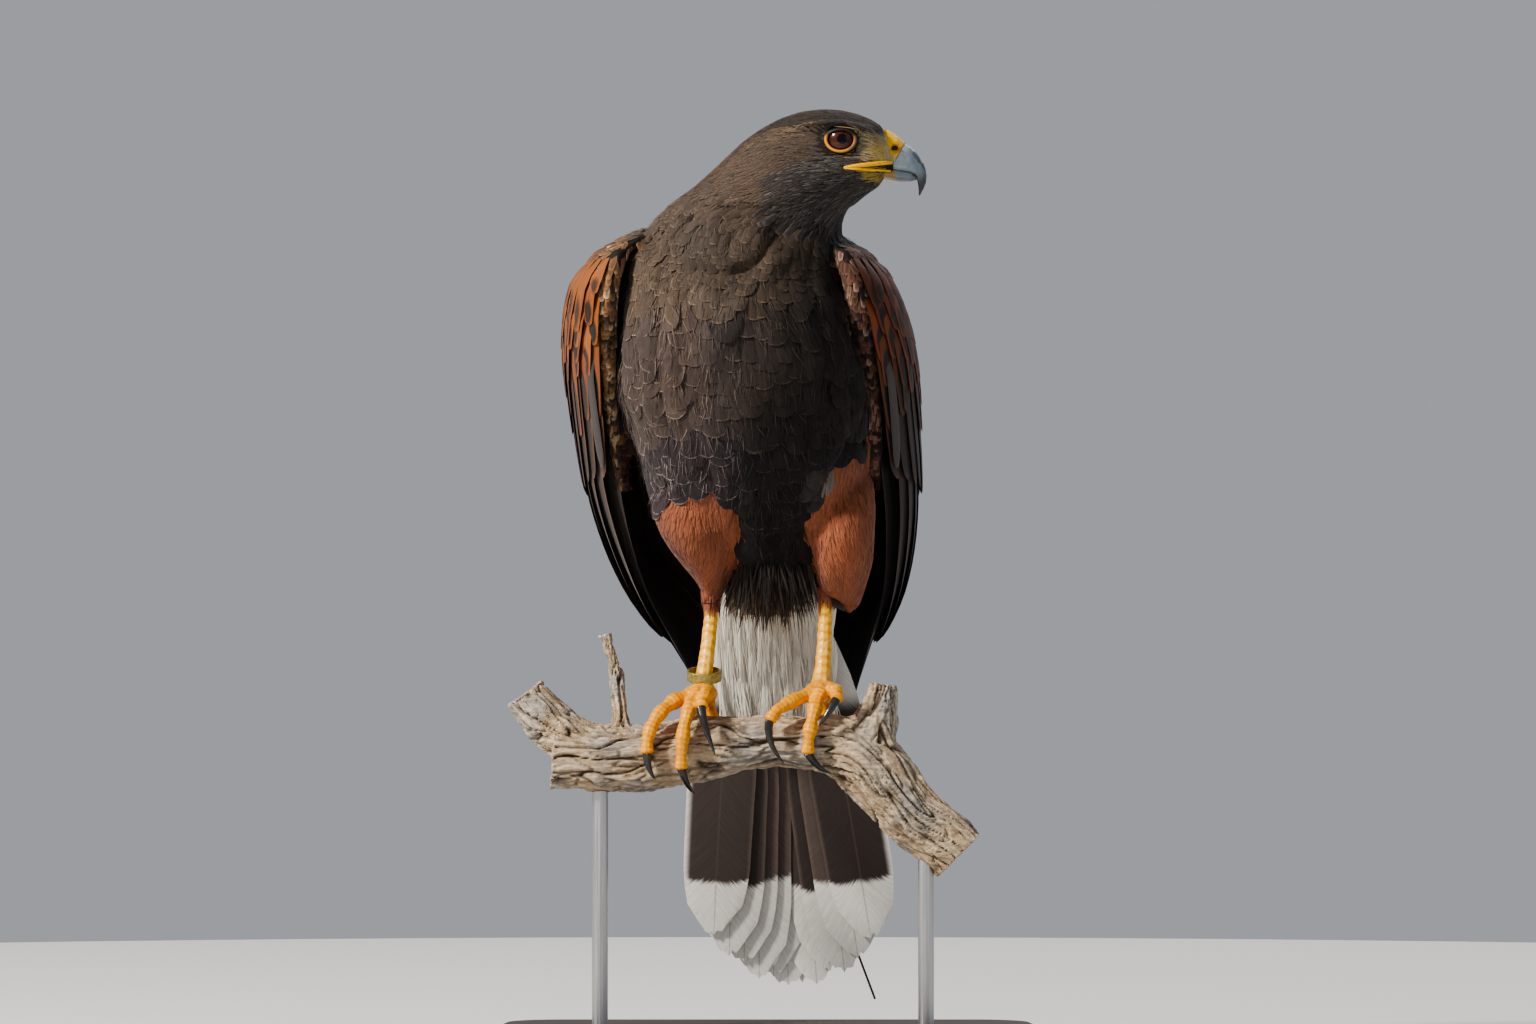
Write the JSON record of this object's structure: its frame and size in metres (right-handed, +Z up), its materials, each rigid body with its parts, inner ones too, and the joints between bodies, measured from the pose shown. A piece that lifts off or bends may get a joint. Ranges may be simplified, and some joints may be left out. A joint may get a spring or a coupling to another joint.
{
  "type": "perched harris hawk",
  "caption": "Harris's hawk, life size and still, gripping a cut length of dead branch that two short rods carry over a flat base.",
  "frame": {"origin": "middle of the stand's underside, the face that it rests on", "axes": "+Z up; -Y is the side that the bird's breast faces; +X is the side that its head and bill are turned to, and its own left"},
  "size_m": [0.27, 0.2376, 0.4768],
  "materials": {
    "plumage": "soft body feathers, sooty dark brown with paler edges",
    "chestnut": "soft body feathers, rufous chestnut",
    "flight": "smooth firm feathers, blackish brown",
    "white": "soft body feathers, white",
    "skin": "scaly bare skin, yellow",
    "horn": "polished horn, black",
    "bill": "polished horn, blue-grey",
    "eye": "wet and glossy, dark brown",
    "wood": "weathered dead wood, grey-tan and cracked",
    "stand": "dark stained wood, satin",
    "steel": "satin",
    "band": "worn anodised, olive gold",
    "rubber": "matte black"
  },
  "bodies": {
    "root": {"head": "plumage", "neck": "plumage", "torso": "plumage", "wing_right": "flight", "wing_left": "flight", "tail": "flight", "thigh_right": "chestnut", "thigh_left": "chestnut", "undertail_coverts": "white", "uppertail_coverts": "white", "tarsus_right": "skin", "tarsus_left": "skin", "toe_right_1": "skin", "toe_right_2": "skin", "toe_right_3": "skin", "toe_right_4": "skin", "toe_left_1": "skin", "toe_left_2": "skin", "toe_left_3": "skin", "toe_left_4": "skin", "claw_right_1": "horn", "claw_right_2": "horn", "claw_right_3": "horn", "claw_right_4": "horn", "claw_left_1": "horn", "claw_left_2": "horn", "claw_left_3": "horn", "claw_left_4": "horn", "cere": "skin", "bill_upper": "bill", "bill_lower": "bill", "eye_right": "eye", "eye_left": "eye", "leg_band": "band", "tail_radio": "rubber", "tail_aerial": "rubber", "perch": "wood", "stand_base": "stand", "stand_rod_right": "steel", "stand_rod_left": "steel"}
  },
  "joints": []
}
